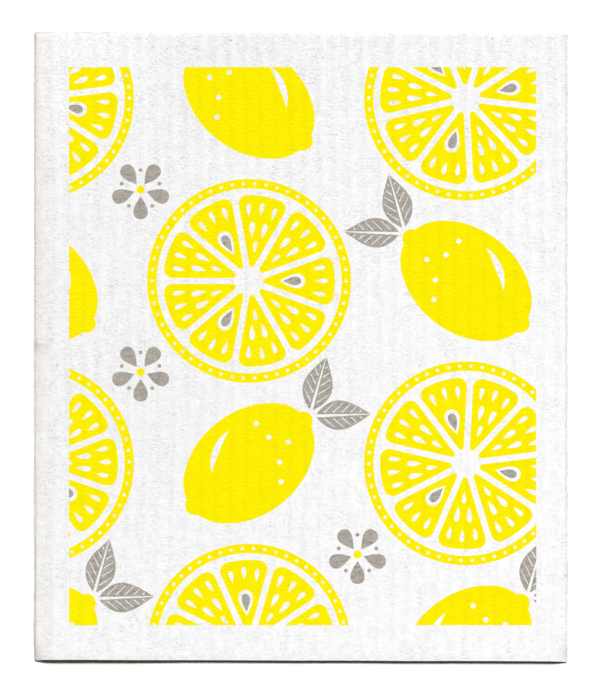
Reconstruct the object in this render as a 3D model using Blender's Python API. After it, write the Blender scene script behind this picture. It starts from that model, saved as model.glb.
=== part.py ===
"""A printed sponge cloth: one ribbed sheet of cellulose and cotton, with a citrus print on its top."""

from math import acos, asin, ceil, cos, hypot, pi, radians, sin, sqrt

import bmesh
import bpy

# The sheet, in metres. It lies flat on z = 0, with its width along X and its length along Y.
CLOTH_WIDTH = 0.170
CLOTH_LENGTH = 0.200
CLOTH_THICKNESS = 0.0020
CORNER_RADIUS = 0.0007

# The ribs run along Y. The sheet is cut from a roll, so its middle isn't the middle of a rib.
RIB_PITCH = 0.00472
RIB_HEIGHT = 0.00032
RIB_SHIFT = -0.0023

# The printed rectangle, and how far the dry ink stands proud of the cloth.
PRINT_WIDTH = 0.149
PRINT_LENGTH = 0.178
PRINT_SHIFT = (0.0006, 0.0002)
INK_THICKNESS = 0.00006

# A slice of lemon
SLICE_RADIUS = 0.0325
RIND_WIDTH = 0.0030
PITH_WIDTH = 0.0021
WEDGES = 9
WEDGE_GAP = 0.0019
WEDGE_CORNER = 0.0032
# The largest corner that a wedge may take, as a share of the one that would leave it no straight side
WEDGE_CORNER_LIMIT = 0.95
WEDGE_TIP = 0.0009
SLICE_TURN = radians(13)

# A whole lemon, with the light on its shoulder
LEMON_LENGTH = 0.050
LEMON_WIDTH = 0.033
LEMON_TILT = radians(38)
LEMON_POINTS = 20
NUB_LENGTH = 0.0042
NUB_RADIUS = 0.0034
# How tightly the nub and the body meet: a higher power leaves a sharper hollow between them
NUB_BLEND = 2.4
SHINE_INSET = 0.0042
SHINE_WIDTH = 0.0021
SHINE_SPREAD = radians(38)
SHINE_PLACE = radians(120)
SHINE_POINTS = 4

# The two leaves at the lemon's stem, each in two halves beside a bare midrib
LEAF_LENGTH = 0.0175
LEAF_WIDTH = 0.0088
LEAF_LEAN = radians(36)
# Below 1, the widest place of a leaf moves towards its stem. Above 1, its ends are more pointed.
LEAF_BULGE = 0.8
LEAF_POINT = 1.1
LEAF_POINTS = 5
LEAF_SPACING = 0.0026
MIDRIB_WIDTH = 0.0010
MIDRIB_TIP_WIDTH = 0.0002
STEM_GAP = 0.0012

# The blossom
PETALS = 5
PETAL_LENGTH = 0.0074
PETAL_WIDTH = 0.0046
PETAL_POINTS = 8
PETAL_TAPER = 1.3
BLOSSOM_EYE = 0.0013
EYE_GAP = 0.0007

# The layout is a half drop: columns of slice and lemon in turn, each moved by half a repeat.
LAYOUT_ORIGIN = (-0.0165, 0.0210)
SLICE_LEMON_GAP = 0.0055
COLUMN_GAP = 0.0145

# How far a chord may stand off its arc, and how near two points are one
CHORD_SAG = 0.0002
WELD_DISTANCE = 1e-7

# The stock and the cutters are larger than the sheet by this much, so that no two faces lie in one plane.
OVERCUT = 0.004

WHITE = (0.92, 0.92, 0.91, 1)
YELLOW = (0.98, 0.84, 0.002, 1)
GREY = (0.41, 0.37, 0.33, 1)


def clear_scene():
    for obj in list(bpy.data.objects):
        bpy.data.objects.remove(obj)


def material(name, colour, roughness):
    made = bpy.data.materials.new(name)
    made.use_nodes = True
    made.diffuse_color = colour
    shader = made.node_tree.nodes["Principled BSDF"]
    shader.inputs["Base Color"].default_value = colour
    shader.inputs["Roughness"].default_value = roughness
    shader.inputs["Metallic"].default_value = 0
    return made


def collection(name):
    made = bpy.data.collections.new(name)
    bpy.context.scene.collection.children.link(made)
    return made


def moved(outline, centre=(0, 0), turn=0.0):
    """The outline turned about its own origin, and then carried to centre."""
    along, across = cos(turn), sin(turn)
    return [(centre[0] + along * x - across * y, centre[1] + across * x + along * y) for x, y in outline]


def arc(centre, radius, start, end):
    """Points along an arc, close enough for its chords to stay within CHORD_SAG of it."""
    widest = 2 * acos(max(0.0, 1 - CHORD_SAG / radius))
    steps = max(2, ceil(abs(end - start) / widest))
    angles = [start + (end - start) * step / steps for step in range(steps + 1)]
    return [(centre[0] + radius * cos(angle), centre[1] + radius * sin(angle)) for angle in angles]


def circle(radius):
    return arc((0, 0), radius, 0, 2 * pi)[:-1]


def rectangle(width, length):
    return [(side * width / 2, end * length / 2) for side, end in ((1, 1), (-1, 1), (-1, -1), (1, -1))]


def rounded_rectangle(width, length, radius):
    outline = []
    for quarter, (side, end) in enumerate(((1, 1), (-1, 1), (-1, -1), (1, -1))):
        centre = (side * (width / 2 - radius), end * (length / 2 - radius))
        outline += arc(centre, radius, quarter * pi / 2, (quarter + 1) * pi / 2)
    return outline


def wedge():
    """One segment of the slice, along +X from the slice's centre, with parallel gaps beside it."""
    outer = SLICE_RADIUS - RIND_WIDTH - PITH_WIDTH
    half_angle = pi / WEDGES
    widest = (outer * sin(half_angle) - WEDGE_GAP / 2) / (1 + sin(half_angle))
    rounding = min(WEDGE_CORNER, WEDGE_CORNER_LIMIT * widest)
    reach = outer - rounding
    corner = half_angle - asin((WEDGE_GAP / 2 + rounding) / reach)
    tip = (WEDGE_GAP / 2 + WEDGE_TIP) / sin(half_angle)
    lower = (reach * cos(corner), -reach * sin(corner))
    upper = (reach * cos(corner), reach * sin(corner))
    outline = arc(lower, rounding, -half_angle - pi / 2, -corner)
    outline += arc((0, 0), outer, -corner, corner)[1:-1]
    outline += arc(upper, rounding, corner, half_angle + pi / 2)
    outline += arc((tip, 0), WEDGE_TIP, half_angle + pi / 2, 3 * pi / 2 - half_angle)
    return outline


def teardrop(length, width, taper, points):
    """A drop along X with its point at +X and its round end at -X. A higher taper draws its point out further."""
    widest = 2 * ((taper + 1) / (taper + 2)) ** ((taper + 1) / 2) / sqrt(taper + 2)
    half = width / 2 / widest
    angles = [2 * pi * step / points for step in range(points)]
    return [(length / 2 * cos(angle), half * sin(angle) * sin(angle / 2) ** taper) for angle in angles]


def lemon_outline():
    """A body drawn in to a small nub at each end. The two are blended where they meet."""
    body = LEMON_LENGTH / 2 - NUB_LENGTH / 2
    nub_middle = LEMON_LENGTH / 2 - NUB_LENGTH
    upper = []
    for step in range(LEMON_POINTS // 2 + 1):
        x = LEMON_LENGTH / 2 * cos(2 * pi * step / LEMON_POINTS)
        belly = LEMON_WIDTH / 2 * sqrt(max(0.0, 1 - (x / body) ** 2))
        nub = NUB_RADIUS * sqrt(max(0.0, 1 - ((abs(x) - nub_middle) / NUB_LENGTH) ** 2))
        upper.append((x, (belly**NUB_BLEND + nub**NUB_BLEND) ** (1 / NUB_BLEND)))
    return upper[:-1] + [(x, -y) for x, y in reversed(upper[1:])]


def shine():
    """A slim moon along the lemon's shoulder."""
    radius = LEMON_WIDTH / 2 - SHINE_INSET
    outline = []
    for step in range(SHINE_POINTS + 1):
        angle = SHINE_SPREAD * (2 * step / SHINE_POINTS - 1)
        outline.append((radius * cos(angle), radius * sin(angle)))
    for step in range(1, SHINE_POINTS):
        angle = SHINE_SPREAD * (1 - 2 * step / SHINE_POINTS)
        inner = radius - SHINE_WIDTH * cos(pi / 2 * angle / SHINE_SPREAD)
        outline.append((inner * cos(angle), inner * sin(angle)))
    return outline


def half_leaf(side):
    """Half a leaf along +X, above its midrib for side 1 and below it for side -1."""
    midrib = MIDRIB_WIDTH / 2
    outline = [(0.0, side * midrib)]
    for step in range(1, LEAF_POINTS):
        share = step / LEAF_POINTS
        swell = LEAF_WIDTH / 2 * sin(pi * share**LEAF_BULGE) ** LEAF_POINT
        outline.append((LEAF_LENGTH * share, side * (midrib * (1 - share) + swell)))
    outline.append((LEAF_LENGTH, side * MIDRIB_TIP_WIDTH / 2))
    return outline


def lemon_slice(centre, turn):
    """Yellow outlines: the rind's two edges and the wedges."""
    yellow = [moved(circle(SLICE_RADIUS), centre), moved(circle(SLICE_RADIUS - RIND_WIDTH), centre)]
    for index in range(WEDGES):
        yellow.append(moved(wedge(), centre, turn + 2 * pi * index / WEDGES))
    return yellow


def whole_lemon(centre, side):
    """Yellow and grey outlines of a lemon whose stem points up, to the right for side 1."""
    tilt = LEMON_TILT if side > 0 else pi - LEMON_TILT
    light = moved(shine(), turn=SHINE_PLACE if side > 0 else -SHINE_PLACE)
    yellow = [moved(lemon_outline(), centre, tilt), moved(light, centre, tilt)]
    grey = []
    for lean in (1, -1):
        base = (LEMON_LENGTH / 2 + STEM_GAP, lean * LEAF_SPACING / 2)
        for half in (1, -1):
            leaf = moved(half_leaf(half), base, lean * LEAF_LEAN)
            grey.append(moved(leaf, centre, tilt))
    return yellow, grey


def blossom(centre):
    """Grey petals around a yellow eye, as yellow and grey outlines."""
    reach = BLOSSOM_EYE + EYE_GAP + PETAL_LENGTH / 2
    grey = []
    for index in range(PETALS):
        turn = pi / 2 + 2 * pi * index / PETALS
        petal = moved(teardrop(PETAL_LENGTH, PETAL_WIDTH, PETAL_TAPER, PETAL_POINTS), (-reach, 0))
        grey.append(moved(petal, centre, turn))
    return [moved(circle(BLOSSOM_EYE), centre)], grey


def reaches_print(outline):
    across = [x - PRINT_SHIFT[0] for x, _ in outline]
    along = [y - PRINT_SHIFT[1] for _, y in outline]
    in_width = max(across) > -PRINT_WIDTH / 2 and min(across) < PRINT_WIDTH / 2
    return in_width and max(along) > -PRINT_LENGTH / 2 and min(along) < PRINT_LENGTH / 2


def print_outlines():
    """Every yellow and every grey outline that reaches the printed rectangle."""
    rise = hypot(LEMON_LENGTH / 2 * sin(LEMON_TILT), LEMON_WIDTH / 2 * cos(LEMON_TILT))
    reach = hypot(LEMON_LENGTH / 2 * cos(LEMON_TILT), LEMON_WIDTH / 2 * sin(LEMON_TILT))
    column_pitch = SLICE_RADIUS + reach + COLUMN_GAP
    row_pitch = 2 * (SLICE_RADIUS + rise + SLICE_LEMON_GAP)
    columns = ceil(PRINT_WIDTH / column_pitch) + 1
    rows = ceil(PRINT_LENGTH / row_pitch) + 1
    yellow = []
    grey = []
    for column in range(-columns, columns + 1):
        for row in range(-rows, rows + 1):
            x = LAYOUT_ORIGIN[0] + column * column_pitch
            y = LAYOUT_ORIGIN[1] + (row + (column % 2) / 2) * row_pitch
            side = 1 if (column + row) % 2 else -1
            yellow += lemon_slice((x, y), SLICE_TURN * (column + 2 * row))
            fruit, leaves = whole_lemon((x, y + row_pitch / 2), side)
            eye, petals = blossom((x - side * column_pitch / 2, y + row_pitch * 3 / 4))
            yellow += fruit + eye
            grey += leaves + petals
    return list(filter(reaches_print, yellow)), list(filter(reaches_print, grey))


def rib_profile(rise):
    """The stock's section across the ribs, with its top raised by rise, as (x, z)."""
    ribs = ceil((CLOTH_WIDTH / 2 + OVERCUT) / RIB_PITCH) + 1
    crest = CLOTH_THICKNESS + rise
    top = []
    for rib in range(-ribs, ribs + 1):
        middle = RIB_SHIFT + rib * RIB_PITCH
        top.append((middle, crest))
        top.append((middle + RIB_PITCH / 2, crest - RIB_HEIGHT))
    floor = -OVERCUT
    return [(top[0][0], floor)] + top + [(top[-1][0], floor)]


def prism(name, outlines, low, high, surface, owner):
    """A closed mesh of flat outlines, one inside another being a hole, from height low to high."""
    curve = bpy.data.curves.new(name, "CURVE")
    curve.dimensions = "2D"
    curve.fill_mode = "BOTH"
    curve.extrude = (high - low) / 2
    for outline in outlines:
        spline = curve.splines.new("POLY")
        spline.points.add(len(outline) - 1)
        spline.use_cyclic_u = True
        for point, (x, y) in zip(spline.points, outline):
            point.co = (x, y, 0, 1)
    guide = bpy.data.objects.new(name + "_outline", curve)
    guide.location.z = (high + low) / 2
    owner.objects.link(guide)
    bpy.context.view_layer.update()
    graph = bpy.context.evaluated_depsgraph_get()
    mesh = bpy.data.meshes.new_from_object(guide.evaluated_get(graph))
    mesh.transform(guide.matrix_world)
    shaped = bmesh.new()
    shaped.from_mesh(mesh)
    bmesh.ops.remove_doubles(shaped, verts=shaped.verts, dist=WELD_DISTANCE)
    bmesh.ops.recalc_face_normals(shaped, faces=shaped.faces)
    shaped.to_mesh(mesh)
    shaped.free()
    mesh.materials.clear()
    mesh.materials.append(surface)
    mesh.name = name
    made = bpy.data.objects.new(name, mesh)
    owner.objects.link(made)
    bpy.data.objects.remove(guide)
    return made


def combine(target, tool, operation, name):
    """Cuts or joins target with tool, whose own faces keep their material."""
    modifier = target.modifiers.new(name, "BOOLEAN")
    modifier.operation = operation
    modifier.solver = "EXACT"
    modifier.material_mode = "TRANSFER"
    modifier.object = tool


def ribbed_stock(name, rise, surface, owner):
    """A ribbed block larger than the sheet, stood up so that its ribs run along Y."""
    half = CLOTH_LENGTH / 2 + OVERCUT
    stock = prism(name, [rib_profile(rise)], -half, half, surface, owner)
    stock.rotation_euler.x = pi / 2
    return stock


def helper(obj):
    obj.hide_render = True
    obj.display_type = "WIRE"


def ink_field(name, outlines, ink, cutters):
    """A colour of the print: its outlines cut to the printed rectangle and to the raised ribs."""
    middle = CLOTH_THICKNESS / 2
    above = CLOTH_THICKNESS + OVERCUT
    field = prism(name, outlines, middle, above, ink, cutters)
    window = moved(rectangle(PRINT_WIDTH, PRINT_LENGTH), PRINT_SHIFT)
    frame = prism(name + "_frame", [window], -OVERCUT, above + OVERCUT, ink, cutters)
    stock = ribbed_stock(name + "_stock", INK_THICKNESS, ink, cutters)
    combine(field, frame, "INTERSECT", "printed rectangle")
    combine(field, stock, "INTERSECT", "follow the ribs")
    for obj in (field, frame, stock):
        helper(obj)
    return field


def sponge_cloth():
    parts = collection("sponge_cloth")
    cutters = collection("cutters")
    white = material("cloth_white", WHITE, 0.95)
    yellow = material("print_yellow", YELLOW, 0.8)
    grey = material("print_grey", GREY, 0.85)
    sheet = rounded_rectangle(CLOTH_WIDTH, CLOTH_LENGTH, CORNER_RADIUS)
    cloth = prism("sponge_cloth", [sheet], 0, CLOTH_THICKNESS + OVERCUT, white, parts)
    stock = ribbed_stock("rib_stock", 0, white, cutters)
    helper(stock)
    combine(cloth, stock, "INTERSECT", "ribs")
    yellow_outlines, grey_outlines = print_outlines()
    combine(cloth, ink_field("yellow_field", yellow_outlines, yellow, cutters), "UNION", "yellow print")
    combine(cloth, ink_field("grey_field", grey_outlines, grey, cutters), "UNION", "grey print")


clear_scene()
sponge_cloth()
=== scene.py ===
"""The looks of the printed sponge cloth: its ribbed and porous sheet, its print, and the scene around it."""

from math import ceil, cos, hypot, pi, radians, sin

import bpy
import numpy as np
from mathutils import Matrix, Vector
from mathutils.geometry import delaunay_2d_cdt


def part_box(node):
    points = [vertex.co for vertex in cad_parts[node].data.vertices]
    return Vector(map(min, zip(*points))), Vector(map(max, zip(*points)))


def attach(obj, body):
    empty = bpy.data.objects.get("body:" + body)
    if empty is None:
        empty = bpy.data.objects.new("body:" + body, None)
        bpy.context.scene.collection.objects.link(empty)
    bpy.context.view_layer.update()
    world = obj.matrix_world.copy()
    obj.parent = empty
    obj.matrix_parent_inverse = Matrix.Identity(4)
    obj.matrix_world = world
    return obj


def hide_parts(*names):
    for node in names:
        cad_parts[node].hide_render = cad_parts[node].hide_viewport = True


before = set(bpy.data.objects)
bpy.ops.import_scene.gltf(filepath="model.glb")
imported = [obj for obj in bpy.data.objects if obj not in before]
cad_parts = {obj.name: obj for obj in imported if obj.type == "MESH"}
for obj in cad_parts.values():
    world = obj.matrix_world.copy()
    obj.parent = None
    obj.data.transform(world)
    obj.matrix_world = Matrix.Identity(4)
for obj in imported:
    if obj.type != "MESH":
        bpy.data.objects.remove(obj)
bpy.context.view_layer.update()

LOW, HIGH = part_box("sponge_cloth")
MM = 0.001

# The sheet, in metres
INK_THICKNESS = 0.00006
WIDTH = HIGH.x - LOW.x
LENGTH = HIGH.y - LOW.y
THICKNESS = HIGH.z - LOW.z - INK_THICKNESS

# Keeps a division from being by 0
TINY = 1e-9

# A smooth noise is its strength, pitch and seed, over a lattice of so many random values each way.
LATTICE = 256

# The ribs, in metres, of the same pitch and height as the solid's. Those are straight, and lie where these
# lie on average. These sway a little along the sheet, all together, and wander.
RIB_PITCH = 0.00472
RIB_HEIGHT = 0.00032
RIB_SHIFT = 0.00154
RIB_FLATNESS = 1.3
SWAY = 0.00134
LEAN = 0.0029
WANDER = (0.00032, 0.011, 3)
WANDER_STRETCH = 2.0

# The unevenness of the top, which lies a little low to leave room for it, and that of the underside
TOP_NOISES = ((0.000030, 0.0027, 5), (0.000022, 0.0015, 6))
TOP_ROOM = 0.00003
UNDERSIDE_NOISE = (0.000020, 0.0030, 7)
UNDERSIDE_RIB_HEIGHT = 0.00012

# The ribs are pressed flat along the front edge: within what reach, and at what share of a furrow's depth
PRESS_REACH = 0.0012
PRESS_DEPTH = 0.4

# How deep the top falls away at the left, right, back and front edges, and within what reach. The left one
# was pressed.
EDGE_DROPS = ((0.00036, 0.00044), (0.00022, 0.0004), (0.00012, 0.0005), (0.00014, 0.0010))

# How deep the top falls at the two front corners, and its reach from the side and from the front. The left
# one slopes more over a last stretch, which starts inside the front edge and ends beyond it.
LEFT_CORNER_DROP = (0.00095, 0.0024, 0.0040)
LEFT_SLOPE_DEPTH, LEFT_SLOPE_REACH = 0.00048, 0.0026
LEFT_SLOPE_START, LEFT_SLOPE_LENGTH = 0.0004, 0.0009
RIGHT_CORNER_DROPS = ((0.00040, 0.0040, 0.0045), (0.00088, 0.0014, 0.0032))

# The curl of the front edge: a low lift all along, and a higher one that grows towards its left end. It
# changes a little along the edge, and is lost again at the two corners.
LIFT, LIFT_LENGTH = 0.00022, 0.020
LEFT_LIFT, LEFT_LIFT_LENGTH = 0.00050, 0.048
LEFT_LIFT_START, LEFT_LIFT_GROWTH = -0.028, 0.046
LIFT_NOISE = (0.12, 0.012, 11)
LIFT_LOSS, LOSS_SIDE_REACH, LOSS_FRONT_REACH = 0.9, 0.0026, 0.0045

# The cut outline: its round corners, its slant, its waver and fray, which die away inside the edge, and how
# far the front corners stand out, each with its reach. Noises of opposite edges are read apart.
CORNER_RADIUS = 0.0007
CUT_SLANT = 0.0034
SIDE_NOISE, SIDE_FRAY = (0.00005, 0.017, 21), (0.00003, 0.0022, 22)
END_NOISE, END_FRAY = (0.00005, 0.017, 23), (0.00002, 0.0022, 24)
CUT_SETTLES = 0.005
EDGES_APART, FRAYS_APART = 0.05, 1.0
LEFT_CORNER_OUT = (0.00045, 0.0022)
RIGHT_CORNER_OUTS = ((0.00010, 0.0060), (0.00030, 0.0012))

# The grid of the top, and how far in from each edge its closer lines lie
GRID_PITCH = 0.00068
EDGE_STATIONS = (0.0, 0.00012, 0.00028, 0.0005, 0.0008, 0.00115)

# The rings of the cut edge, as shares of its height, with its fray and its bulge. At the front it frays less.
WALL_LEVELS = (0.86, 0.66, 0.42, 0.18, 0.0)
WALL_FRAY, WALL_NOISE = (0.00006, 0.0011, 31), (0.00003, 0.004, 32)
RINGS_APART = 0.02
WALL_BULGE, FRONT_BULGE = 0.00005, 0.00020
FRONT_FRAY_SHARE = 0.4

# The points of the underside, and how close in millimetres two of them would count as one
UNDERSIDE_PITCH = (0.00118, 0.0030)
UNDERSIDE_START, UNDERSIDE_END = 0.0012, 0.0011
SAME_POINT = 1e-6

# Faces that meet at more than this are shaded with a sharp edge between them.
SHARP_ANGLE = radians(50)

# The texture map: the top fills most of it, then come a narrow strip for each side and the underside.
MAP_BOTTOM, MAP_HEIGHT = 0.0075, 0.985
MAP_LEFT = 0.004
STRIPS_LEFT, STRIP_PITCH, STRIP_WIDTH = 0.843, 0.009, 0.006
UNDERSIDE_LEFT, UNDERSIDE_WIDTH = 0.880, 0.114

# The printed rectangle and the motifs on it, in millimetres, as in the solid
PRINT_WIDTH, PRINT_LENGTH = 149.0, 178.0
PRINT_SHIFT = (0.6, 0.2)
SLICE_RADIUS = 32.5
RIND_WIDTH = 3.0
PITH_WIDTH = 2.1
WEDGES = 9
WEDGE_GAP = 1.9
WEDGE_CORNER = 3.2
WEDGE_TIP = 0.9
SLICE_TURN = radians(13)
LEMON_LENGTH, LEMON_WIDTH = 50.0, 33.0
LEMON_TILT = radians(38)
NUB_LENGTH, NUB_RADIUS = 4.2, 3.4
NUB_BLEND = 2.4
SHINE_INSET, SHINE_WIDTH = 4.2, 2.1
SHINE_SPREAD = radians(38)
SHINE_PLACE = radians(120)
LEAF_LENGTH, LEAF_WIDTH = 17.5, 8.8
LEAF_LEAN = radians(36)
LEAF_BULGE = 0.8
LEAF_POINT = 1.1
LEAF_SPACING = 2.6
MIDRIB_WIDTH, MIDRIB_TIP_WIDTH = 1.0, 0.2
STEM_GAP = 1.2
PETALS = 5
PETAL_LENGTH, PETAL_WIDTH = 7.4, 4.6
DROP_TAPER = 1.3
BLOSSOM_EYE = 1.3
EYE_GAP = 0.7
LAYOUT_ORIGIN = (-16.5, 21.0)
LAYOUT_REACH = 3
SLICE_LEMON_GAP = 5.5
COLUMN_GAP = 14.5

# Small details that only the print has. A juice sac is its share of the way out from the slice's centre, its
# share of the way from the wedge's middle line to its side, and its scale. The middle ones give way to a pip.
RIND_DOTS = 54
RIND_DOT_RADIUS = 0.5
SAC_SIZE = (5.0, 1.75)
RIM_SACS = ((0.845, 0.0, 0.80), (0.825, 0.52, 0.80))
MIDDLE_SACS = ((0.60, 0.33, 0.95), (0.40, 0.0, 0.72))
PIP_PLACE = 0.50
PIP_WINDOW = (8.2, 4.6)
PIP_SIZE = (5.8, 2.7)
PIP_EVERY = 3
SHINE_LEAST = 0.15
LEMON_DOTS = 5
LEMON_DOT_RADIUS = 0.8
LEMON_DOT_INSET, LEMON_DOT_STAGGER = 5.0, 3.0
LEMON_DOT_STRETCH = 1.25
LEMON_DOT_START, LEMON_DOT_STEP = radians(-72), radians(30)
VEIN_PITCH = 2.9
VEIN_WIDTH = 0.55
VEIN_SLANT = 1.1
VEIN_TAPER = 0.16
VEIN_FROM_MIDRIB, VEIN_FROM_EDGE = 0.35, 0.55
STAMEN_RADIUS = 0.62
STAMEN_REACH = 6.3

# Where motifs come near each other, the later kind owns the faces between them.
SPRIG, BLOSSOM, SLICE = 1, 2, 3
KIND_MARGIN = 0.3
MOTIF_MARGIN = 1.0
SLICE_MARGIN = 0.6
FAR = 9.0

# The edge of the ink feathers by noises, each with its pitch, detail and reach, and is a little soft.
FEATHERS = ((0.45, 1.0, 0.05), (0.16, 0.0, 0.03))
INK_SOFTNESS = 0.13

# Colours as they show in the photo, 0 to 255
CLOTH_COLOUR = (251, 251, 251)
YELLOW_INK = (253, 238, 2)
GREY_INK = (174, 167, 157)
AGED_AND_SHADED_EDGE = (229, 215, 202)
# The cut edge is made tan partly as painted shade, for the dark line along the front edge
CUT_EDGE = (192, 175, 152)

# The textures, in millimetres. One of these is its pitch, its detail, and what X and Y are scaled by.
TEXTURES = {
    "streaks": (0.72, 1.0, (0.4, 1.0)),
    "flecks": (0.85, 2.0, (1.0, 1.0)),
    "blotches": (2.3, 2.0, (1.0, 1.0)),
    "columns": (1.5, 1.0, (1.0, 0.2)),
    "fine_columns": (0.8, 2.0, (1.0, 0.3)),
    "clouds": (5.5, 2.0, (1.0, 1.0)),
}
LEAST_FLECK = 0.05

# Pores are their pitch, smallest and largest radius and share of the cells, and fibres their pitch, length,
# width and share.
PORES = (3.1, 0.06, 0.30, 0.35)
FINE_PORES = (1.0, 0.02, 0.2, 0.6)
PORE_SOFTNESS = 0.14
FIBRES = (5.5, 2.6, 0.10, 0.5)
FIBRE_SOFTNESS = 0.12

# How coarse the cloth is from place to place: more in its furrows, and less towards the right and the front
COARSENESS, LEAST_COARSENESS = 0.98, 0.25
CLOUD_COARSENESS, FURROW_COARSENESS = 1.5, 0.6
COARSENESS_SLOPE = (-0.0018, 0.0026)

# The tone of the bare cloth, with what each texture adds to it everywhere, and by how coarse the cloth is
CLOTH_TONE = 0.983
CLOTH_TONES = {
    "blotches": 0.044,
    "clouds": -0.020,
    "columns": 0.050,
    "fine_columns": 0.060,
    "fine_pores": -0.04,
}
# Of these, the streaks, dark flecks and pores stand partly for painted shade of the cloth's fine relief and
# pores
COARSE_TONES = {"streaks": 0.061, "dark_flecks": -0.29, "pores": -0.13, "fibres": -0.08}

# The tone of each ink and of the cut edge, with what each texture adds to it
# In the inks too, the streaks, dark flecks and pores are partly painted shade of the fine relief and pores
YELLOW_TONE = 1.0
YELLOW_TONES = {"clouds": 0.034, "blotches": 0.022, "streaks": 0.006, "dark_flecks": -0.03, "pores": -0.04}
GREY_TONE = 1.03
GREY_TONES = {"blotches": 0.13, "streaks": 0.32, "dark_flecks": -0.8, "pores": -0.10}
# The cut edge's low tone is partly painted shade, to darken the line along the front edge
CUT_TONE = 0.82
CUT_TONES = {"blotches": 0.12, "flecks": 0.16}

# What each texture adds to the surface's height, in millimetres, everywhere and by how coarse the cloth is
HEIGHTS = {"streaks": 0.034, "blotches": 0.045, "pores": -0.08, "fine_pores": -0.05}
COARSE_HEIGHTS = {"flecks": -0.060}

# The furrows are darker, as painted shade in their hollows, least at one place along the sheet, and more for
# each millimetre away from it.
FURROW_SHADE, FURROW_SHADE_CHANGE, FAINTEST_FURROWS = 0.008, 0.00019, -45.0

# Painted shade: how much the bare cloth brightens for each millimetre along X and Y, darker to the left and
# back
SLOW_SHADE = (0.00030, -0.00005)

# Broad patches of the bare cloth that are a little lighter or darker: place, reach in millimetres, and change
PATCHES = ((-84.0, 98.0, 58.0, 0.052), (-24.0, 84.0, 34.0, -0.024), (-46.0, -20.0, 58.0, -0.022))

# Specks of dirt, in millimetres on the cloth: place, radius and depth of tone
SPECKS = (
    (6.9, 92.2, 0.26, 0.42),
    (-22.4, 97.6, 0.34, 0.36),
    (-77.6, -6.0, 0.34, 0.32),
    (-42.5, 95.1, 0.26, 0.28),
    (61.1, 98.3, 0.38, 0.20),
    (79.9, -51.9, 0.26, 0.24),
    (84.4, -73.1, 0.36, 0.30),
)
SPECK_SOFTNESS = 0.2

# The band and rim along the left edge, a beige tint that is partly yellowing and partly painted shade where
# the edge curls down, and the dark rim along the right one: reach and fade in millimetres from the edge, and
# share of the colour or depth of tone. The band's share changes by a noise.
AGED_AND_SHADED_BAND = (6.8, 3.0, 0.16)
AGED_AND_SHADED_CHANGE, AGED_AND_SHADED_CHANGE_PITCH, AGED_AND_SHADED_CHANGE_DETAIL = 0.20, 3.5, 2.0
AGED_AND_SHADED_RIM = (1.30, 0.75, 0.46)
# The right rim is painted shade along the rounded right edge
SHADE_RIM = (0.9, 0.6, 0.10)

# The press mark that runs in from the left edge, in millimetres, with a smudge at its start and a stain
# below. Its line is painted shade in the dent.
CREASE_PLACE, CREASE_SLOPE, CREASE_REACH = 0.6, -0.03, 5.5
CREASE_DEPTH, CREASE_WIDTH, CREASE_LENGTH = 0.10, 0.60, 6.2
CREASE_LINE, CREASE_LINE_FADE = 0.55, 2.0
SMUDGE_PLACE, SMUDGE_SIZE = (0.3, 0.0), (1.5, 3.0)
SMUDGE_CONTRAST, SMUDGE_CHANGE = 1.8, 0.5
STAIN_TOP_FADE = 0.5
STAIN_BOTTOM, STAIN_BOTTOM_FADE, STAIN_BOTTOM_CHANGE = -4.2, 2.4, 3.0
STAIN_REACH, STAIN_FADE, STAIN_CHANGE = 6.0, 2.6, 2.5
MARK_SHARES = {"crease": 0.55, "smudge": 0.55, "stain": 0.40}
# The crease's darkening is painted shade in the dent
MARK_TONES = {"crease": -0.11, "smudge": -0.10, "stain": -0.03}

SURFACE_ROUGHNESS, SURFACE_SPECULAR = 0.95, 0.04

# The camera looks straight down from above a point a little up and left of the cloth's middle.
PIXELS_PER_METRE = 3137
FRAME_PIXELS = (600, 691)
CLOTH_MIDDLE_PIXEL = (300.8, 346.8)
LENS_MM, SENSOR_MM = 200.0, 36.0
CAMERA_SEES_TO = 20

# The key light and the dome share the light, and add up to white on the flat cloth.
KEY_ELEVATION = radians(59)
KEY_AZIMUTH = radians(8)
KEY_SHARE = 0.94
KEY_ANGLE = radians(14)
DOME_COLOUR = (1.0, 0.70, 0.42)

# The table, with its tone for the light that it sends on and its tone where it is seen directly
TABLE_SIZE = 6.0
TABLE_TONE, TABLE_WHITE = 0.36, 1.06


def linear(colour):
    """A colour written 0 to 255 as it shows, as the linear values that Blender takes."""
    shares = [level / 255 for level in colour]
    return tuple(s / 12.92 if s <= 0.04045 else ((s + 0.055) / 1.055) ** 2.4 for s in shares) + (1.0,)


def eased(share):
    """A share from 0 to 1 that leaves 0 and reaches 1 smoothly."""
    return share * share * (3 - 2 * share)


def fading(distance, reach):
    """1 at no distance, falling smoothly to almost 0 at twice the reach."""
    return np.exp(-((distance / reach) ** 2))


def smooth_noise(noise, x, y, stretch=1.0):
    """Smooth values up to the strength either way. Along Y the pitch is stretched by so many times."""
    strength, pitch, seed = noise
    lattice = np.random.default_rng(seed).uniform(-1, 1, (LATTICE, LATTICE))
    u, v = x / pitch + LATTICE / 2, y / (pitch * stretch) + LATTICE / 2
    i, j = np.floor(u).astype(int), np.floor(v).astype(int)
    fu, fv = eased(u - i), eased(v - j)

    def corner(di, dj):
        return lattice[(i + di) % LATTICE, (j + dj) % LATTICE]

    near = corner(0, 0) * (1 - fu) + corner(1, 0) * fu
    far = corner(0, 1) * (1 - fu) + corner(1, 1) * fu
    return strength * (near * (1 - fv) + far * fv)


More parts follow.
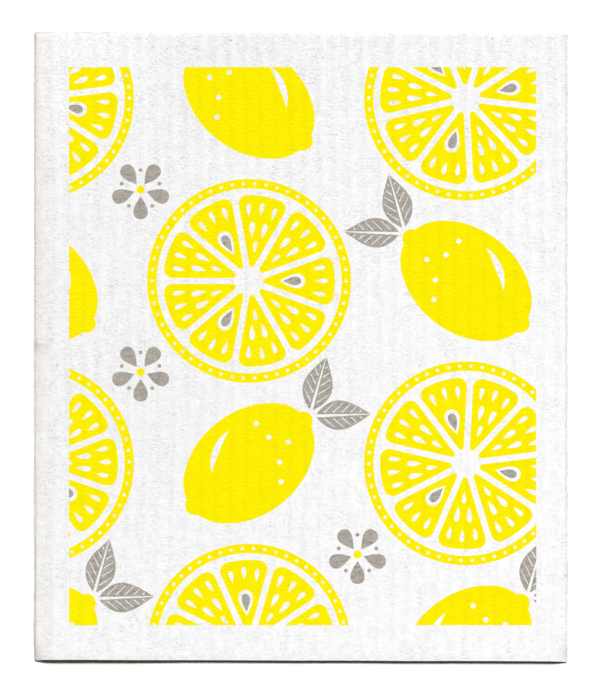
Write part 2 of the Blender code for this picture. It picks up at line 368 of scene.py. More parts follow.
def rib_rise(x, y):
    """How far up a rib a point is: 1 on its crest and 0 in the furrow beside it."""
    sway = SWAY * np.cos(pi * y / LENGTH) + LEAN * y
    wander = smooth_noise(WANDER, x, y, WANDER_STRETCH)
    turn = np.cos(2 * pi * (x - RIB_SHIFT - sway - wander) / RIB_PITCH)
    return 0.5 + 0.5 * np.tanh(RIB_FLATNESS * turn) / np.tanh(RIB_FLATNESS)


def edge_drop(x, y):
    """How far the top falls away at the cut edges."""
    distances = (x + WIDTH / 2, WIDTH / 2 - x, LENGTH / 2 - y, y + LENGTH / 2)
    drops = [depth * fading(distance, reach) for distance, (depth, reach) in zip(distances, EDGE_DROPS)]
    return np.maximum.reduce(drops)


def corner_drop(x, y):
    """How far the two front corners are pressed down."""
    from_left, from_right, from_front = x + WIDTH / 2, WIDTH / 2 - x, y + LENGTH / 2
    depth, side_reach, front_reach = LEFT_CORNER_DROP
    drop = depth * fading(from_left, side_reach) * fading(from_front, front_reach)
    slope = eased(np.clip((LEFT_SLOPE_START - from_front) / LEFT_SLOPE_LENGTH, 0, 1))
    drop += LEFT_SLOPE_DEPTH * fading(from_left, LEFT_SLOPE_REACH) * slope
    for depth, side_reach, front_reach in RIGHT_CORNER_DROPS:
        drop += depth * fading(from_right, side_reach) * fading(from_front, front_reach)
    return drop


def front_lift(x, y):
    """How far the front edge curls up from the table."""
    from_front = y + LENGTH / 2
    low = np.clip(1 - from_front / LIFT_LENGTH, 0, 1)
    high = np.clip(1 - from_front / LEFT_LIFT_LENGTH, 0, 1)
    left_end = eased(np.clip((LEFT_LIFT_START - x) / LEFT_LIFT_GROWTH, 0, 1))
    lift = LIFT * low**2 + LEFT_LIFT * left_end * high**2
    at_corner = np.maximum(fading(x + WIDTH / 2, LOSS_SIDE_REACH), fading(WIDTH / 2 - x, LOSS_SIDE_REACH))
    lift = lift * (1 - LIFT_LOSS * at_corner * fading(from_front, LOSS_FRONT_REACH))
    return lift * (1 + smooth_noise(LIFT_NOISE, x, 0 * y))


def crease(x, y):
    """A short press mark that runs in from the left edge, just above the middle."""
    along = x + WIDTH / 2
    across = y - CREASE_PLACE * MM - CREASE_SLOPE * along
    strength = np.clip(1 - along / (CREASE_LENGTH * MM), 0, 1)
    return CREASE_DEPTH * MM * strength * fading(across, CREASE_WIDTH * MM)


def top_height(x, y):
    rough = sum(smooth_noise(noise, x, y) for noise in TOP_NOISES)
    pressed = fading(y + LENGTH / 2, PRESS_REACH)
    ribs = RIB_HEIGHT * ((1 - rib_rise(x, y)) * (1 - pressed) + PRESS_DEPTH * pressed)
    flat = THICKNESS - TOP_ROOM - ribs + rough * (1 - pressed)
    return flat - edge_drop(x, y) - corner_drop(x, y) - crease(x, y) + front_lift(x, y)


def underside_height(x, y):
    """The underside's height above the table, with its unevenness raised so that it never goes below."""
    rough = UNDERSIDE_NOISE[0] + smooth_noise(UNDERSIDE_NOISE, x, y)
    return UNDERSIDE_RIB_HEIGHT * (1 - rib_rise(x, y)) + rough + front_lift(x, y)


def stations(span):
    """Places of the grid lines across a span, close together at both ends."""
    inner = span / 2 - EDGE_STATIONS[-1]
    middle = np.linspace(-inner, inner, ceil(2 * inner / GRID_PITCH) + 1)
    ends = span / 2 - np.array(EDGE_STATIONS[:-1])
    return np.concatenate([-ends, middle, ends[::-1]])


def cut_outline(x, y):
    """The flat grid moved so that its corners are round and its cut edges waver, as a blade leaves them."""
    half = np.array([WIDTH / 2, LENGTH / 2])
    place = np.stack([x, y], -1)
    over = np.maximum(np.abs(place) - (half - CORNER_RADIUS), 0)
    far = np.linalg.norm(over, axis=-1)
    shrink = np.where((over > 0).all(-1), over.max(-1) / np.maximum(far, TINY), 1)
    place = np.sign(place) * (np.minimum(np.abs(place), half - CORNER_RADIUS) + over * shrink[..., None])

    waver_x = smooth_noise(SIDE_NOISE, np.sign(x) * EDGES_APART, y)
    waver_x += smooth_noise(SIDE_FRAY, x + np.sign(x) * FRAYS_APART, y)
    waver_y = smooth_noise(END_NOISE, x, np.sign(y) * EDGES_APART)
    waver_y += smooth_noise(END_FRAY, x, y + np.sign(y) * FRAYS_APART)
    reach_out = LEFT_CORNER_OUT[0] * fading(x + half[0], LEFT_CORNER_OUT[1])
    reach_out += sum(distance * fading(half[0] - x, reach) for distance, reach in RIGHT_CORNER_OUTS)
    near_side = np.clip(1 - (half[0] - np.abs(x)) / CUT_SETTLES, 0, 1) ** 2
    near_end = np.clip(1 - (half[1] - np.abs(y)) / CUT_SETTLES, 0, 1) ** 2
    place[..., 0] += near_side * waver_x
    place[..., 1] += near_end * (waver_y - CUT_SLANT * x - np.where(y < 0, reach_out, 0))
    return place[..., 0], place[..., 1]


def map_top(x, y):
    across = MAP_LEFT + (x / LENGTH + WIDTH / LENGTH / 2) * MAP_HEIGHT
    return np.stack([across, MAP_BOTTOM + (y / LENGTH + 0.5) * MAP_HEIGHT], -1)


def map_wall(sides):
    """The places on the texture map of the corners of each wall face, one array for each ring."""
    number = np.arange(len(sides)) - np.searchsorted(sides, sides)
    along = np.bincount(sides)[sides]
    share, share_next = number / along, number / along + 1 / along
    left = STRIPS_LEFT + STRIP_PITCH * sides
    rings = []
    for upper, lower in zip((1.0, *WALL_LEVELS), WALL_LEVELS):
        high, low = STRIP_WIDTH * (1 - upper), STRIP_WIDTH * (1 - lower)
        corners = [(high, share), (low, share), (low, share_next), (high, share_next)]
        strip = [np.stack([left + across, MAP_BOTTOM + MAP_HEIGHT * s], -1) for across, s in corners]
        rings.append(np.stack(strip, 1).reshape(-1, 2))
    return rings


def map_underside(x, y):
    across = UNDERSIDE_LEFT + (x / WIDTH + 0.5) * UNDERSIDE_WIDTH
    return np.stack([across, MAP_BOTTOM + (y / LENGTH + 0.5) * MAP_HEIGHT], -1)


def wall_rings(rim, sides):
    """The rings of points down the cut edge, from the rim of the top and the number of each point's side."""
    along = np.roll(rim[:, :2], -1, 0) - np.roll(rim[:, :2], 1, 0)
    outward = np.stack([along[:, 1], -along[:, 0]], -1)
    outward /= np.linalg.norm(outward, axis=1)[:, None]
    steps = np.linalg.norm(np.diff(rim[:, :2], axis=0), axis=1)
    travel = np.concatenate([[0], np.cumsum(steps)])
    foot_height = underside_height(rim[:, 0], rim[:, 1])
    front = sides == 0
    rings = []
    for number, level in enumerate(WALL_LEVELS):
        fray = smooth_noise(WALL_FRAY, travel, 0 * travel + RINGS_APART * number)
        fray += smooth_noise(WALL_NOISE, travel, 0 * travel)
        fray = np.where(front, fray * FRONT_FRAY_SHARE, fray)
        fray += np.where(front, FRONT_BULGE, WALL_BULGE) * np.sin(pi * level)
        ring = rim.copy()
        ring[:, :2] += outward * (fray * (level > 0))[:, None]
        ring[:, 2] = foot_height + (rim[:, 2] - foot_height) * level
        rings.append(ring)
    return rings


def underside_fill(foot):
    """Points inside the foot of the cut edge, and triangles over the foot's points and these."""
    inner_x = np.arange(-WIDTH / 2 + UNDERSIDE_START, WIDTH / 2 - UNDERSIDE_END, UNDERSIDE_PITCH[0])
    inner_y = np.arange(-LENGTH / 2 + UNDERSIDE_START, LENGTH / 2 - UNDERSIDE_END, UNDERSIDE_PITCH[1])
    inner = np.stack(np.meshgrid(inner_x, inner_y), -1).reshape(-1, 2)
    flat = [Vector(place) for place in np.concatenate([foot[:, :2], inner]) / MM]
    outline = [(i, (i + 1) % len(foot)) for i in range(len(foot))]
    made, _, triangles, origins, _, _ = delaunay_2d_cdt(flat, outline, [], 1, SAME_POINT)
    if len(made) != len(flat):
        raise ValueError("the underside's points changed in number")
    source = np.array([origin[0] for origin in origins])
    height = underside_height(inner[:, 0], inner[:, 1])
    return np.concatenate([inner, height[:, None]], 1), source[np.array(triangles)][:, ::-1]


def cloth_mesh():
    """One closed mesh: the ribbed top, the cut edge in a few rings, and the underside."""
    xs, ys = stations(WIDTH), stations(LENGTH)
    across, along = len(xs), len(ys)
    x, y = cut_outline(*np.meshgrid(xs, ys))
    index = np.arange(across * along).reshape(along, across)
    top = np.stack([index[:-1, :-1], index[:-1, 1:], index[1:, 1:], index[1:, :-1]], -1).reshape(-1, 4)
    points = [np.stack([x, y, top_height(x, y)], -1).reshape(-1, 3)]
    faces = [top]
    maps = [map_top(x, y).reshape(-1, 2)[top.ravel()]]

    above = np.concatenate([index[0, :], index[1:, -1], index[-1, -2::-1], index[-2:0:-1, 0]])
    sides = np.repeat([0, 1, 2, 3], [across - 1, along - 1, across - 1, along - 1])
    following = np.roll(np.arange(len(above)), -1)
    placed = across * along
    for ring in wall_rings(points[0][above], sides):
        below = placed + np.arange(len(ring))
        points.append(ring)
        faces.append(np.stack([above, below, below[following], above[following]], -1))
        above, placed = below, placed + len(ring)
    maps += map_wall(sides)

    inner, triangles = underside_fill(points[-1])
    points = np.concatenate([*points, inner])
    triangles = np.concatenate([above, placed + np.arange(len(inner))])[triangles]
    maps.append(map_underside(points[triangles.ravel(), 0], points[triangles.ravel(), 1]))
    return points, np.concatenate(faces), triangles, np.concatenate(maps), len(top)


def motif_places():
    """Where each motif of the half drop layout lies: its kind, middle, turn and which way round it is."""
    rise = hypot(LEMON_LENGTH / 2 * sin(LEMON_TILT), LEMON_WIDTH / 2 * cos(LEMON_TILT))
    reach = hypot(LEMON_LENGTH / 2 * cos(LEMON_TILT), LEMON_WIDTH / 2 * sin(LEMON_TILT))
    column_pitch = SLICE_RADIUS + reach + COLUMN_GAP
    row_pitch = 2 * (SLICE_RADIUS + rise + SLICE_LEMON_GAP)
    for column in range(-LAYOUT_REACH, LAYOUT_REACH + 1):
        for row in range(-LAYOUT_REACH, LAYOUT_REACH + 1):
            x = LAYOUT_ORIGIN[0] + column * column_pitch
            y = LAYOUT_ORIGIN[1] + (row + (column % 2) / 2) * row_pitch
            side = 1 if (column + row) % 2 else -1
            yield SLICE, (x, y), SLICE_TURN * (column + 2 * row), 1
            yield SPRIG, (x, y + row_pitch / 2), LEMON_TILT if side > 0 else pi - LEMON_TILT, side
            yield BLOSSOM, (x - side * column_pitch / 2, y + row_pitch * 3 / 4), 0.0, 1


def covers(kind, u, v):
    """Whether places in millimetres on a motif lie on it or close around it."""
    if kind == SLICE:
        return np.hypot(u, v) < SLICE_RADIUS + SLICE_MARGIN
    if kind == BLOSSOM:
        return np.hypot(u, v) < BLOSSOM_EYE + EYE_GAP + PETAL_LENGTH + MOTIF_MARGIN
    half_length, half_width = LEMON_LENGTH / 2 + MOTIF_MARGIN, LEMON_WIDTH / 2 + MOTIF_MARGIN
    body = np.hypot(u / half_length, v / half_width) < 1
    nubs = (np.abs(u) < half_length) & (np.abs(v) < NUB_RADIUS + MOTIF_MARGIN)
    from_stem = np.hypot(u - LEMON_LENGTH / 2, v)
    leaves = (u > LEMON_LENGTH / 2) & (from_stem < STEM_GAP + LEAF_LENGTH + MOTIF_MARGIN)
    return body | nubs | leaves


def motif_attribute(points, quads):
    """For each corner of each top face, its place in millimetres on the face's motif, and the kind."""
    corners = points[quads][..., :2] / MM
    values = np.zeros((len(quads), 4, 3))
    for kind, (x, y), turn, side in sorted(motif_places()):
        dx, dy = corners[..., 0] - x, corners[..., 1] - y
        u, v = dx * cos(turn) + dy * sin(turn), side * (dy * cos(turn) - dx * sin(turn))
        on = covers(kind, u.mean(1), v.mean(1))
        values[on] = np.stack([u[on], v[on], np.full_like(u[on], kind)], -1)
    return values.reshape(-1, 3)


def sponge_cloth():
    points, quads, triangles, maps, top_faces = cloth_mesh()
    mesh = bpy.data.meshes.new("printed_sponge_cloth")
    mesh.from_pydata(points.tolist(), [], quads.tolist() + triangles.tolist())

    def add_attribute(name, kind, domain, field, values):
        made = mesh.attributes.new(name, kind, domain)
        made.data.foreach_set(field, values.astype(np.float32).ravel())

    mesh.uv_layers.new(name="OFBake").data.foreach_set("uv", maps.astype(np.float32).ravel())
    motif = np.zeros((len(mesh.loops), 3))
    motif[: top_faces * 4] = motif_attribute(points, quads[:top_faces])
    add_attribute("motif", "FLOAT_VECTOR", "CORNER", "vector", motif)
    add_attribute("rib", "FLOAT", "POINT", "value", rib_rise(points[:, 0], points[:, 1]))
    number = np.arange(len(mesh.polygons))
    add_attribute("top_face", "FLOAT", "FACE", "value", number < top_faces)
    add_attribute("cut_face", "FLOAT", "FACE", "value", (number >= top_faces) & (number < len(quads)))
    mesh.shade_smooth()
    mesh.set_sharp_from_angle(angle=SHARP_ANGLE)
    cloth = bpy.data.objects.new("printed_sponge_cloth", mesh)
    bpy.context.scene.collection.objects.link(cloth)
    return cloth


class Field:
    """A number that varies over the surface, built as shader nodes by writing ordinary arithmetic."""

    def __init__(self, tree, socket):
        self.tree = tree
        self.socket = socket

    def math(self, operation, *operands):
        node = self.tree.nodes.new("ShaderNodeMath")
        node.operation = operation
        for place, operand in zip(node.inputs, operands):
            if isinstance(operand, Field):
                self.tree.links.new(operand.socket, place)
            else:
                place.default_value = operand
        return Field(self.tree, node.outputs[0])

    def __add__(self, other):
        return self.math("ADD", self, other)

    __radd__ = __add__

    def __sub__(self, other):
        return self.math("SUBTRACT", self, other)

    def __rsub__(self, other):
        return self.math("SUBTRACT", other, self)

    def __mul__(self, other):
        return self.math("MULTIPLY", self, other)

    __rmul__ = __mul__

    def __truediv__(self, other):
        return self.math("DIVIDE", self, other)

    def __pow__(self, other):
        return self.math("POWER", self, other)

    def __neg__(self):
        return self.math("MULTIPLY", self, -1.0)

    def __abs__(self):
        return self.math("ABSOLUTE", self)

    def at_least(self, other):
        return self.math("MAXIMUM", self, other)

    def at_most(self, other):
        return self.math("MINIMUM", self, other)

    def clamped(self):
        return self.at_least(0.0).at_most(1.0)

    def sine(self):
        return self.math("SINE", self)

    def cosine(self):
        return self.math("COSINE", self)

    def root(self):
        return self.math("SQRT", self.at_least(0.0))

    def floor(self):
        return self.math("FLOOR", self)

    def below(self, other):
        return self.math("LESS_THAN", self, other)

    def above(self, other):
        return self.math("GREATER_THAN", self, other)

    def angle_of(self, x):
        """The angle of the point (x, self)."""
        return self.math("ARCTAN2", self, x)

    def is_kind(self, kind):
        return self.math("COMPARE", self, float(kind), KIND_MARGIN)

    def choose(self, inside, outside):
        """inside where this field is 1, outside where it is 0."""
        return outside + self * (inside - outside)

    def within(self, reach, fade):
        """0 where this field is more than the reach, growing to 1 over the fade below it."""
        return ((reach - self) / fade).clamped()


def length_of(x, y):
    return (x * x + y * y).root()


def teardrop(x, y, size, scale=1.0):
    """Below 0 inside a drop along X, with its point at +X."""
    length, width = size[0] * scale, size[1] * scale
    widest = 2 * ((DROP_TAPER + 1) / (DROP_TAPER + 2)) ** ((DROP_TAPER + 1) / 2) / (DROP_TAPER + 2) ** 0.5
    share = (x * (2 / length)).at_least(-1.0).at_most(1.0)
    half = (1.0 - share * share).root() * ((1.0 - share) * 0.5) ** (DROP_TAPER / 2) * (width / 2 / widest)
    return (abs(y) - half).at_least(abs(x) - length / 2)


def folded(angle, step):
    """The number of the sector that an angle lies in, and the angle from that sector's middle."""
    sector = (angle / step + 0.5).floor()
    return sector, angle - sector * step


def slice_fields(x, y):
    """The yellow and grey of a slice: its dotted rind, its wedges with juice sacs, and a pip in some."""
    outer = SLICE_RADIUS - RIND_WIDTH - PITH_WIDTH
    half_angle = pi / WEDGES
    away, direction = length_of(x, y), y.angle_of(x)
    rind_middle = SLICE_RADIUS - RIND_WIDTH / 2
    _, from_dot = folded(direction, 2 * pi / RIND_DOTS)
    dot = length_of(away * from_dot.cosine() - rind_middle, away * from_dot.sine()) - RIND_DOT_RADIUS
    rind = (abs(away - rind_middle) - RIND_WIDTH / 2).at_least(-dot)

    sector, angle = folded(direction, 2 * half_angle)
    angle = abs(angle)
    to_side = half_angle - angle
    over_rim = away - outer + WEDGE_CORNER
    over_side = WEDGE_GAP / 2 + WEDGE_CORNER - away * to_side.sine()
    rounded = length_of(over_rim.at_least(0.0), over_side.at_least(0.0))
    wedge = rounded + over_rim.at_least(over_side).at_most(0.0) - WEDGE_CORNER
    axis, off_axis = away * angle.cosine(), away * angle.sine()
    tip = (WEDGE_GAP / 2 + WEDGE_TIP) / sin(half_angle)
    in_tip = (away * to_side.cosine()).below(tip * cos(half_angle))
    wedge = in_tip.choose(length_of(axis - tip, off_axis) - WEDGE_TIP, wedge)

    def sacs(places):
        drops = []
        for reach, lean, scale in places:
            aside = angle - lean * half_angle
            along, across = reach * outer - away * aside.cosine(), away * aside.sine()
            drops.append(teardrop(along, across, SAC_SIZE, scale))
        return drops[0].at_most(drops[1])

    window = teardrop(PIP_PLACE * outer - axis, off_axis, PIP_WINDOW)
    pip = teardrop(PIP_PLACE * outer - axis, off_axis, PIP_SIZE)
    number_of_few = sector - ((sector + 0.5) / PIP_EVERY).floor() * PIP_EVERY
    has_pip = number_of_few.below(0.5)
    hole = sacs(RIM_SACS).at_most(has_pip.choose(window, sacs(MIDDLE_SACS)))
    yellow = rind.at_most(wedge.at_least(-hole))
    return yellow, has_pip.choose(pip, FAR)


def lemon_field(x, y):
    """The yellow of a whole lemon, with a shine and a few dots left bare."""
    body = LEMON_LENGTH / 2 - NUB_LENGTH / 2
    nub_middle = LEMON_LENGTH / 2 - NUB_LENGTH
    belly = (1.0 - (x / body) * (x / body)).root() * (LEMON_WIDTH / 2)
    along_nub = (abs(x) - nub_middle) / NUB_LENGTH
    nub = (1.0 - along_nub * along_nub).root() * NUB_RADIUS
    half = (belly**NUB_BLEND + nub**NUB_BLEND) ** (1 / NUB_BLEND)
    lemon = (abs(y) - half).at_least(abs(x) - LEMON_LENGTH / 2)

    turned_x = x * cos(SHINE_PLACE) + y * sin(SHINE_PLACE)
    turned_y = y * cos(SHINE_PLACE) - x * sin(SHINE_PLACE)
    around = abs(turned_y.angle_of(turned_x)).at_most(SHINE_SPREAD)
    thick = (around * (pi / 2 / SHINE_SPREAD)).cosine() * (SHINE_WIDTH / 2)
    hole = abs(length_of(x, y) - (LEMON_WIDTH / 2 - SHINE_INSET) + thick) - thick
    hole = hole.at_least(SHINE_LEAST - thick)
    for number in range(LEMON_DOTS):
        angle = LEMON_DOT_START + LEMON_DOT_STEP * number
        reach = LEMON_WIDTH / 2 - LEMON_DOT_INSET - LEMON_DOT_STAGGER * (number % 2)
        from_dot = length_of(x - LEMON_DOT_STRETCH * reach * cos(angle), y - reach * sin(angle))
        hole = hole.at_most(from_dot - LEMON_DOT_RADIUS)
    return lemon.at_least(-hole)


def leaf_field(x, y):
    """The grey of the two leaves at a lemon's stem, with a midrib and veins left bare."""
    from_stem = x - (LEMON_LENGTH / 2 + STEM_GAP)
    off_axis = abs(y) - LEAF_SPACING / 2
    leaf_x = from_stem * cos(LEAF_LEAN) + off_axis * sin(LEAF_LEAN)
    leaf_y = abs(off_axis * cos(LEAF_LEAN) - from_stem * sin(LEAF_LEAN))
    share = (leaf_x / LEAF_LENGTH).clamped()
    midrib = (1.0 - share) * ((MIDRIB_WIDTH - MIDRIB_TIP_WIDTH) / 2) + MIDRIB_TIP_WIDTH / 2
    swell = ((share**LEAF_BULGE) * pi).sine().at_least(0.0) ** LEAF_POINT * (LEAF_WIDTH / 2)
    leaf = (leaf_y - midrib - swell).at_least(midrib - leaf_y)
    leaf = leaf.at_least(abs(leaf_x - LEAF_LENGTH / 2) - LEAF_LENGTH / 2)
    between = (leaf_x - leaf_y * VEIN_SLANT) / VEIN_PITCH
    vein = abs(between - between.floor() - 0.5) * VEIN_PITCH - (1.0 - leaf_y * VEIN_TAPER) * (VEIN_WIDTH / 2)
    vein = vein.at_least(midrib + VEIN_FROM_MIDRIB - leaf_y).at_least(leaf + VEIN_FROM_EDGE)
    return leaf.at_least(-vein)


def sprig_fields(x, y):
    return lemon_field(x, y), leaf_field(x, y)


def blossom_fields(x, y):
    """The yellow eye of a blossom, and its grey petals and stamens. The first petal points down."""
    away, direction = length_of(x, y), y.angle_of(x)
    _, angle = folded(direction + pi / 2, 2 * pi / PETALS)
    reach = BLOSSOM_EYE + EYE_GAP + PETAL_LENGTH / 2
    petal = teardrop(reach - away * angle.cosine(), away * angle.sine(), (PETAL_LENGTH, PETAL_WIDTH))
    _, between = folded(direction - pi / 2, 2 * pi / PETALS)
    stamen = length_of(away * between.cosine() - STAMEN_REACH, away * between.sine()) - STAMEN_RADIUS
    return away - BLOSSOM_EYE, petal.at_most(stamen)


class Surface:
    """The nodes of a material, with the place on the surface in millimetres."""

    def __init__(self, tree):
        self.tree = tree
        coordinates = tree.nodes.new("ShaderNodeTexCoord")
        in_mm = tree.nodes.new("ShaderNodeVectorMath")
        in_mm.operation = "SCALE"
        in_mm.inputs["Scale"].default_value = 1 / MM
        tree.links.new(coordinates.outputs["Object"], in_mm.inputs[0])
        self.place = in_mm.outputs[0]
        self.x, self.y, self.z = self.split(self.place)

    def attribute(self, name, output):
        node = self.tree.nodes.new("ShaderNodeAttribute")
        node.attribute_name = name
        return node.outputs[output]

    def value(self, name):
        return Field(self.tree, self.attribute(name, "Fac"))

    def split(self, socket):
        node = self.tree.nodes.new("ShaderNodeSeparateXYZ")
        self.tree.links.new(socket, node.inputs[0])
        return [Field(self.tree, output) for output in node.outputs]

    def scaled_place(self, scales):
        if scales == (1.0, 1.0):
            return self.place
        node = self.tree.nodes.new("ShaderNodeCombineXYZ")
        for place, value in zip(node.inputs, (self.x * scales[0], self.y * scales[1], self.z)):
            self.tree.links.new(value.socket, place)
        return node.outputs[0]

    def noise(self, pitch, detail, scales=(1.0, 1.0)):
        """A noise from about -1 to 1, whose features are about one pitch across."""
        node = self.tree.nodes.new("ShaderNodeTexNoise")
        node.inputs["Scale"].default_value = 1 / pitch
        node.inputs["Detail"].default_value = detail
        self.tree.links.new(self.scaled_place(scales), node.inputs["Vector"])
        return Field(self.tree, node.outputs["Fac"]) * 2.0 - 1.0

    def cells(self, pitch):
        """Cells of a pitch: two chances from 0 to 1, the distance from a cell's middle, and that middle."""
        node = self.tree.nodes.new("ShaderNodeTexVoronoi")
        node.inputs["Scale"].default_value = 1 / pitch
        self.tree.links.new(self.place, node.inputs["Vector"])
        chance, other, _ = self.split(node.outputs["Color"])
        return chance, other, Field(self.tree, node.outputs["Distance"]) * pitch, node.outputs["Position"]

    def holes(self, pitch, smallest, largest, share):
        """1 in round pores of a random size, one to a cell, and only in this share of the cells."""
        chance, size, distance, _ = self.cells(pitch)
        radius = size * (largest - smallest) + smallest - chance.above(share) * FAR
        return ((radius - distance) / PORE_SOFTNESS + 0.5).clamped()

    def fibres(self, pitch, length, width, share):
        """1 along short straight fibres, each at its own angle, one to a cell, in this share of the cells."""
        chance, turn, _, middle = self.cells(pitch)
        middle_x, middle_y, _ = self.split(middle)
        from_x, from_y, angle = self.x - middle_x, self.y - middle_y, turn * pi
        along = abs(from_x * angle.cosine() + from_y * angle.sine()) - length / 2
        across = abs(from_y * angle.cosine() - from_x * angle.sine()) - width / 2
        return (0.5 - along.at_least(across) / FIBRE_SOFTNESS).clamped() * chance.below(share)

    def mixed(self, share, colour, other):
        node = self.tree.nodes.new("ShaderNodeMix")
        node.data_type = "RGBA"
        self.tree.links.new(share.socket, node.inputs["Factor"])
        for place, value in ((node.inputs["A"], colour), (node.inputs["B"], other)):
            if isinstance(value, tuple):
                place.default_value = value
            else:
                self.tree.links.new(value, place)
        return node.outputs["Result"]

    def toned(self, colour, tone):
        """The colour times a grey tone."""
        node = self.tree.nodes.new("ShaderNodeVectorMath")
        node.operation = "SCALE"
        if isinstance(colour, tuple):
            node.inputs[0].default_value = colour[:3]
        else:
            self.tree.links.new(colour, node.inputs[0])
        self.tree.links.new(tone.socket, node.inputs["Scale"])
        return node.outputs[0]


def weighted(base, fields, weights):
    """The base and the sum of the named fields, each times its weight."""
    for name, weight in weights.items():
        base = base + fields[name] * weight
    return base


def ink_shares(surface):
    """How much yellow and how much grey ink covers each place, from 0 to 1."""
    drawn_x, drawn_y, drawn_kind = surface.split(surface.attribute("motif", "Vector"))
    feather = sum(surface.noise(pitch, detail) * reach for pitch, detail, reach in FEATHERS)
    yellow, grey = FAR, FAR
    for kind, fields in ((SLICE, slice_fields), (SPRIG, sprig_fields), (BLOSSOM, blossom_fields)):
        here = drawn_kind.is_kind(kind)
        kind_yellow, kind_grey = fields(drawn_x, drawn_y)
        yellow = here.choose(kind_yellow, yellow)
        grey = here.choose(kind_grey, grey)
    off_side = abs(surface.x - PRINT_SHIFT[0]) - PRINT_WIDTH / 2
    off_end = abs(surface.y - PRINT_SHIFT[1]) - PRINT_LENGTH / 2
    off_print = off_side.at_least(off_end)
    on_top = surface.value("top_face")

    def inked(field):
        return (0.5 - (field.at_least(off_print) + feather) / INK_SOFTNESS).clamped() * on_top

    return inked(yellow), inked(grey)


def cloth_textures(surface):
    textures = {name: surface.noise(*settings) for name, settings in TEXTURES.items()}
    # Dark flecks and pores, which darken partly as painted shade in the cloth's hollows
    textures["dark_flecks"] = (textures["flecks"] - LEAST_FLECK).at_least(0.0)
    textures["pores"] = surface.holes(*PORES)
    textures["fine_pores"] = surface.holes(*FINE_PORES)
    textures["fibres"] = surface.fibres(*FIBRES)
    return textures


def bare_tone(surface, textures, rib, coarseness):
    """The tone of the bare cloth with painted shade in its furrows and across it, before its marks and
    specks.
    """
    x, y = surface.x, surface.y
    tone = weighted(CLOTH_TONE, textures, CLOTH_TONES) + coarseness * weighted(0.0, textures, COARSE_TONES)
    # Painted shade in the furrows between the ribs
    tone = tone - (1.0 - rib) * (FURROW_SHADE + abs(y - FAINTEST_FURROWS) * FURROW_SHADE_CHANGE)
    # Painted shade, darker towards the left and the back
    tone = tone * (1.0 + x * SLOW_SHADE[0] + y * SLOW_SHADE[1])
    for patch_x, patch_y, reach, change in PATCHES:
        off_x, off_y = (x - patch_x) / reach, (y - patch_y) / reach
        nearness = (1.0 - off_x * off_x - off_y * off_y).at_least(0.0)
        tone = tone * (1.0 + nearness * nearness * change)
    return tone


def press_marks(surface, textures, from_left):
    """The painted shade along the press mark's dent, the smudge at its start and the stain below it."""
    y = surface.y
    to_crease = abs(y - CREASE_PLACE - from_left * CREASE_SLOPE)
    # The crease line: painted shade along the dent
    line = to_crease.within(CREASE_LINE, CREASE_LINE) * from_left.within(CREASE_REACH, CREASE_LINE_FADE)
    smudge_x = (from_left - SMUDGE_PLACE[0]) / SMUDGE_SIZE[0]
    smudge_y = (y - SMUDGE_PLACE[1]) / SMUDGE_SIZE[1]
    nearness = (1.0 - length_of(smudge_x, smudge_y)) * SMUDGE_CONTRAST
    smudge = (nearness + textures["blotches"] * SMUDGE_CHANGE).clamped()
    above_bottom = y - STAIN_BOTTOM + textures["clouds"] * STAIN_BOTTOM_CHANGE
    stain = y.within(CREASE_PLACE, STAIN_TOP_FADE) * (above_bottom / STAIN_BOTTOM_FADE).clamped()
    stain = stain * (from_left - textures["blotches"] * STAIN_CHANGE).within(STAIN_REACH, STAIN_FADE)
    return {"crease": line, "smudge": smudge, "stain": stain}


def marked_cloth(surface, textures, tone):
    """The colour of the bare cloth, with its yellowed left edge that is partly painted shade, its press mark,
    its painted shade along the right edge, and its specks.
    """
    from_left, from_right = surface.x + WIDTH / MM / 2, WIDTH / MM / 2 - surface.x
    # The left band and rim: a beige tint, partly yellowing and partly painted shade of the curled-down edge
    reach, fade, share = AGED_AND_SHADED_BAND
    change = surface.noise(AGED_AND_SHADED_CHANGE_PITCH, AGED_AND_SHADED_CHANGE_DETAIL) * AGED_AND_SHADED_CHANGE
    aged_and_shaded = from_left.within(reach, fade) * (share + change)
    reach, fade, share = AGED_AND_SHADED_RIM
    aged_and_shaded = aged_and_shaded.at_least(from_left.within(reach, fade) * share)
    marks = press_marks(surface, textures, from_left)
    for name, share in MARK_SHARES.items():
        aged_and_shaded = aged_and_shaded.at_least(marks[name] * share)
    # The crease line darkens here as painted shade in the dent
    tone = tone * weighted(1.0, marks, MARK_TONES)
    # Painted shade along the right edge
    reach, fade, depth = SHADE_RIM
    tone = tone * (1.0 - from_right.within(reach, fade) * depth)
    for speck_x, speck_y, radius, depth in SPECKS:
        off_speck = length_of(surface.x - speck_x, surface.y - speck_y) - radius
        tone = tone - (0.5 - off_speck / SPECK_SOFTNESS).clamped() * depth
    return surface.toned(surface.mixed(aged_and_shaded.clamped(), linear(CLOTH_COLOUR), linear(AGED_AND_SHADED_EDGE)), tone)


